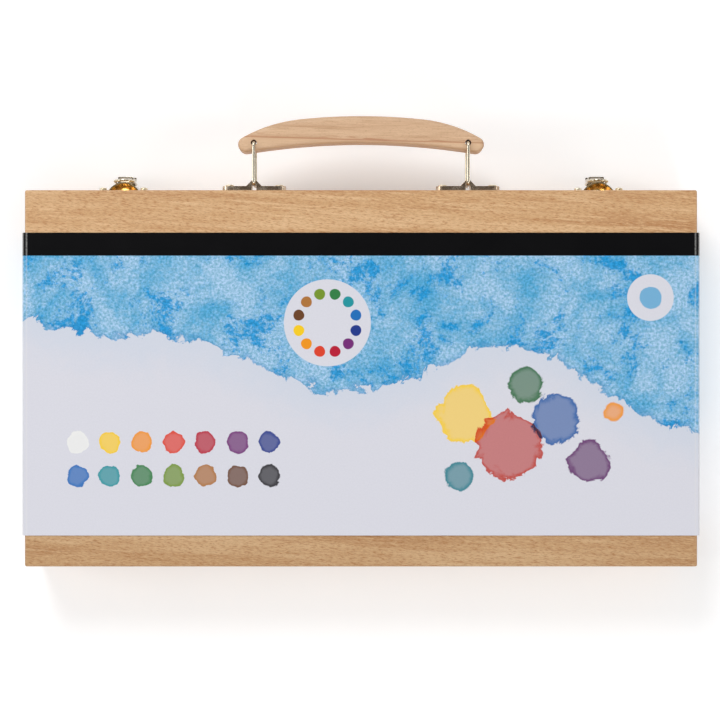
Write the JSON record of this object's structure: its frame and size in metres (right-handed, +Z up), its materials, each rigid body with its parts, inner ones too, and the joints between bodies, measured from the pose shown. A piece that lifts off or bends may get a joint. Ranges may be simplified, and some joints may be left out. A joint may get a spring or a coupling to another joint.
{
  "type": "hinged wooden art case",
  "caption": "Hinged wooden watercolour case with a swinging grip handle, two toggle latches, a sliding card sleeve and moulded inserts that hold tubes, markers, brushes, palette and paper.",
  "frame": {"origin": "middle of the case's footprint on the surface it rests on", "axes": "+X along the case, +Y from the latch and handle side to the hinge side, +Z up from the base half to the lid"},
  "size_m": [0.4028, 0.2711, 0.0559],
  "materials": {
    "case_wood": "satin lacquered beech, fine grain along each piece",
    "grip_wood": "satin lacquered beech, a little pinker than the case",
    "nickel": "bright nickel plate",
    "steel_wire": "bright drawn wire",
    "brass": "polished brass plate",
    "hinge_metal": "satin brass plate",
    "screw_metal": "bright steel",
    "printed_card": "coated card, satin, black stripe and blue wash on white",
    "moulded_insert": "thin white moulded sheet, soft gloss",
    "tube_white": "white laminate with a black band",
    "tube_cap": "ribbed caps, each in its paint's colour",
    "marker_black": "black barrel",
    "cap_yellow": "yellow",
    "cap_clear": "milky white",
    "cap_blue": "light blue",
    "palette_white": "white moulding",
    "brush_barrel": "translucent white",
    "brush_dark": "dark grey",
    "brush_bristle": "pale nylon bristles",
    "brush_clear": "clear plastic",
    "handle_blue": "blue lacquer",
    "ferrule_metal": "polished ferrule",
    "dark_bristle": "dark hair",
    "paper": "white watercolour paper, fine tooth",
    "leaflet_paper": "thin printed paper"
  },
  "bodies": {
    "base": {"base_front_rail": "case_wood", "base_back_rail": "case_wood", "base_left_rail": "case_wood", "base_right_rail": "case_wood", "base_panel": "case_wood", "hinge_base_leaf_left": "hinge_metal", "hinge_base_leaf_right": "hinge_metal", "hinge_pin_left": "hinge_metal", "hinge_pin_right": "hinge_metal", "hinge_screws_base": "screw_metal", "latch_plate_left": "nickel", "latch_plate_right": "nickel", "latch_pin_left": "screw_metal", "latch_pin_right": "screw_metal", "latch_screws": "screw_metal", "base_insert": "moulded_insert", "paint_tubes": "tube_white", "tube_caps": "tube_cap", "marker_barrels": "marker_black", "marker_caps_yellow": "cap_yellow", "marker_caps_clear": "cap_clear", "marker_caps_blue": "cap_blue", "mixing_palette": "palette_white"},
    "lid": {"lid_front_rail": "case_wood", "lid_back_rail": "case_wood", "lid_left_rail": "case_wood", "lid_right_rail": "case_wood", "lid_panel": "case_wood", "hinge_lid_leaf_left": "hinge_metal", "hinge_lid_leaf_right": "hinge_metal", "hinge_screws_lid": "screw_metal", "handle_plate_left": "nickel", "handle_plate_right": "nickel", "handle_screws": "screw_metal", "strike_left": "brass", "strike_right": "brass", "strike_screws": "screw_metal", "lid_insert": "moulded_insert", "water_brush_barrels": "brush_barrel", "water_brush_ferrules": "brush_dark", "water_brush_bristles": "brush_bristle", "water_brush_caps": "brush_clear", "fine_brush_handle": "handle_blue", "fine_brush_ferrule": "ferrule_metal", "fine_brush_bristles": "dark_bristle", "paper_sheets": "paper", "leaflet": "leaflet_paper"},
    "left_bail": {"handle_bail_left": "steel_wire"},
    "right_bail": {"handle_bail_right": "steel_wire"},
    "grip": {"handle_grip": "grip_wood"},
    "left_lever": {"latch_lever_left": "nickel"},
    "left_loop": {"latch_loop_left": "steel_wire"},
    "right_lever": {"latch_lever_right": "nickel"},
    "right_loop": {"latch_loop_right": "steel_wire"},
    "sleeve_base_side": {"sleeve_base_half": "printed_card"},
    "sleeve_lid_side": {"sleeve_lid_half": "printed_card"}
  },
  "joints": [
    {"name": "lid_hinge", "type": "hinge", "parent": "base", "child": "lid", "pos_m": [0, 0.1122, 0.02795], "axis": [-1, 0, 0], "range_deg": [0, 115]},
    {"name": "handle_swing", "type": "hinge", "parent": "lid", "child": "left_bail", "pos_m": [-0.064, -0.116, 0.0416], "axis": [0, 0, 1], "range_deg": [-60, 60]},
    {"name": "right_bail_swing", "type": "hinge", "parent": "lid", "child": "right_bail", "pos_m": [0.064, -0.116, 0.0416], "axis": [0, 0, 1], "range_deg": [-60, 60]},
    {"name": "grip_pivot", "type": "hinge", "parent": "left_bail", "child": "grip", "pos_m": [-0.064, -0.1407, 0.0416], "axis": [0, 0, 1], "range_deg": [-60, 60]},
    {"name": "left_lever_lift", "type": "hinge", "parent": "base", "child": "left_lever", "pos_m": [-0.1435, -0.1196, 0.0215], "axis": [-1, 0, 0], "range_deg": [0, 95]},
    {"name": "left_loop_swing", "type": "hinge", "parent": "left_lever", "child": "left_loop", "pos_m": [-0.1435, -0.1184, 0.0169], "axis": [1, 0, 0], "range_deg": [0, 228]},
    {"name": "right_lever_lift", "type": "hinge", "parent": "base", "child": "right_lever", "pos_m": [0.1435, -0.1196, 0.0215], "axis": [-1, 0, 0], "range_deg": [0, 95]},
    {"name": "right_loop_swing", "type": "hinge", "parent": "right_lever", "child": "right_loop", "pos_m": [0.1435, -0.1184, 0.0169], "axis": [1, 0, 0], "range_deg": [0, 228]},
    {"name": "sleeve_slide", "type": "slide", "parent": "base", "child": "sleeve_base_side", "axis": [0, -1, 0], "range_m": [-0.0186, 0.25]},
    {"name": "sleeve_lid_slide", "type": "slide", "parent": "lid", "child": "sleeve_lid_side", "axis": [0, -1, 0], "range_m": [-0.0186, 0.25]}
  ],
  "couplings": [
    {"joint": "right_bail_swing", "follows": "handle_swing", "ratio": 1},
    {"joint": "grip_pivot", "follows": "handle_swing", "ratio": -1},
    {"joint": "left_loop_swing", "follows": "left_lever_lift", "ratio": 2.4},
    {"joint": "right_loop_swing", "follows": "right_lever_lift", "ratio": 2.4},
    {"joint": "sleeve_lid_slide", "follows": "sleeve_slide", "ratio": 1}
  ]
}
